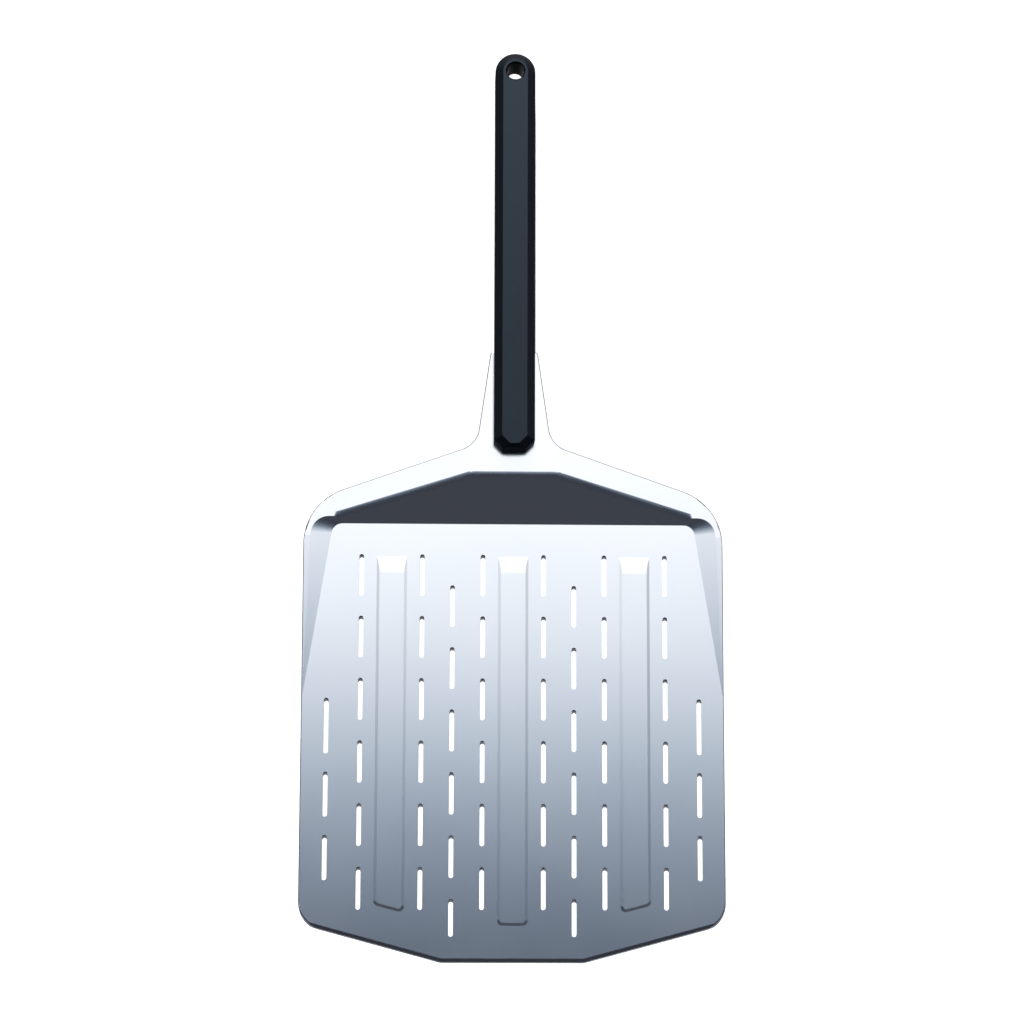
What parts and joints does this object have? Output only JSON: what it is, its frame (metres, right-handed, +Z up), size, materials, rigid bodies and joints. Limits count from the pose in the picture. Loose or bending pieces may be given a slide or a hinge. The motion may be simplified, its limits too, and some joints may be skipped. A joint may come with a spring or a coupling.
{
  "type": "pizza peel",
  "caption": "Perforated aluminium pizza peel with a raised neck, low ribs, a ground leading edge and a straight moulded handle with a hanging hole.",
  "frame": {"origin": "under the middle of the object's bounding box, on the surface that the blade lies on", "axes": "+X across the blade, +Y from the leading edge to the end of the handle, +Z up from the blade's upper face"},
  "size_m": [0.305, 0.662, 0.034],
  "materials": {
    "aluminium_sheet": "satin anodised",
    "handle_plastic": "fine grain, glass-filled nylon",
    "cover_plastic": "fine grain, glass-filled nylon",
    "stainless": "bright stainless steel",
    "insert_brass": "machined",
    "black_screw": "black zinc-plated steel"
  },
  "bodies": {
    "root": {"blade": "aluminium_sheet", "handle_body": "handle_plastic", "handle_cover": "cover_plastic", "neck_screw_1": "stainless", "neck_washer_1": "stainless", "neck_insert_1": "insert_brass", "neck_screw_2": "stainless", "neck_washer_2": "stainless", "neck_insert_2": "insert_brass", "neck_screw_3": "stainless", "neck_washer_3": "stainless", "neck_insert_3": "insert_brass", "cover_screw_1": "black_screw", "cover_screw_2": "black_screw", "cover_screw_3": "black_screw", "cover_screw_4": "black_screw"}
  },
  "joints": []
}
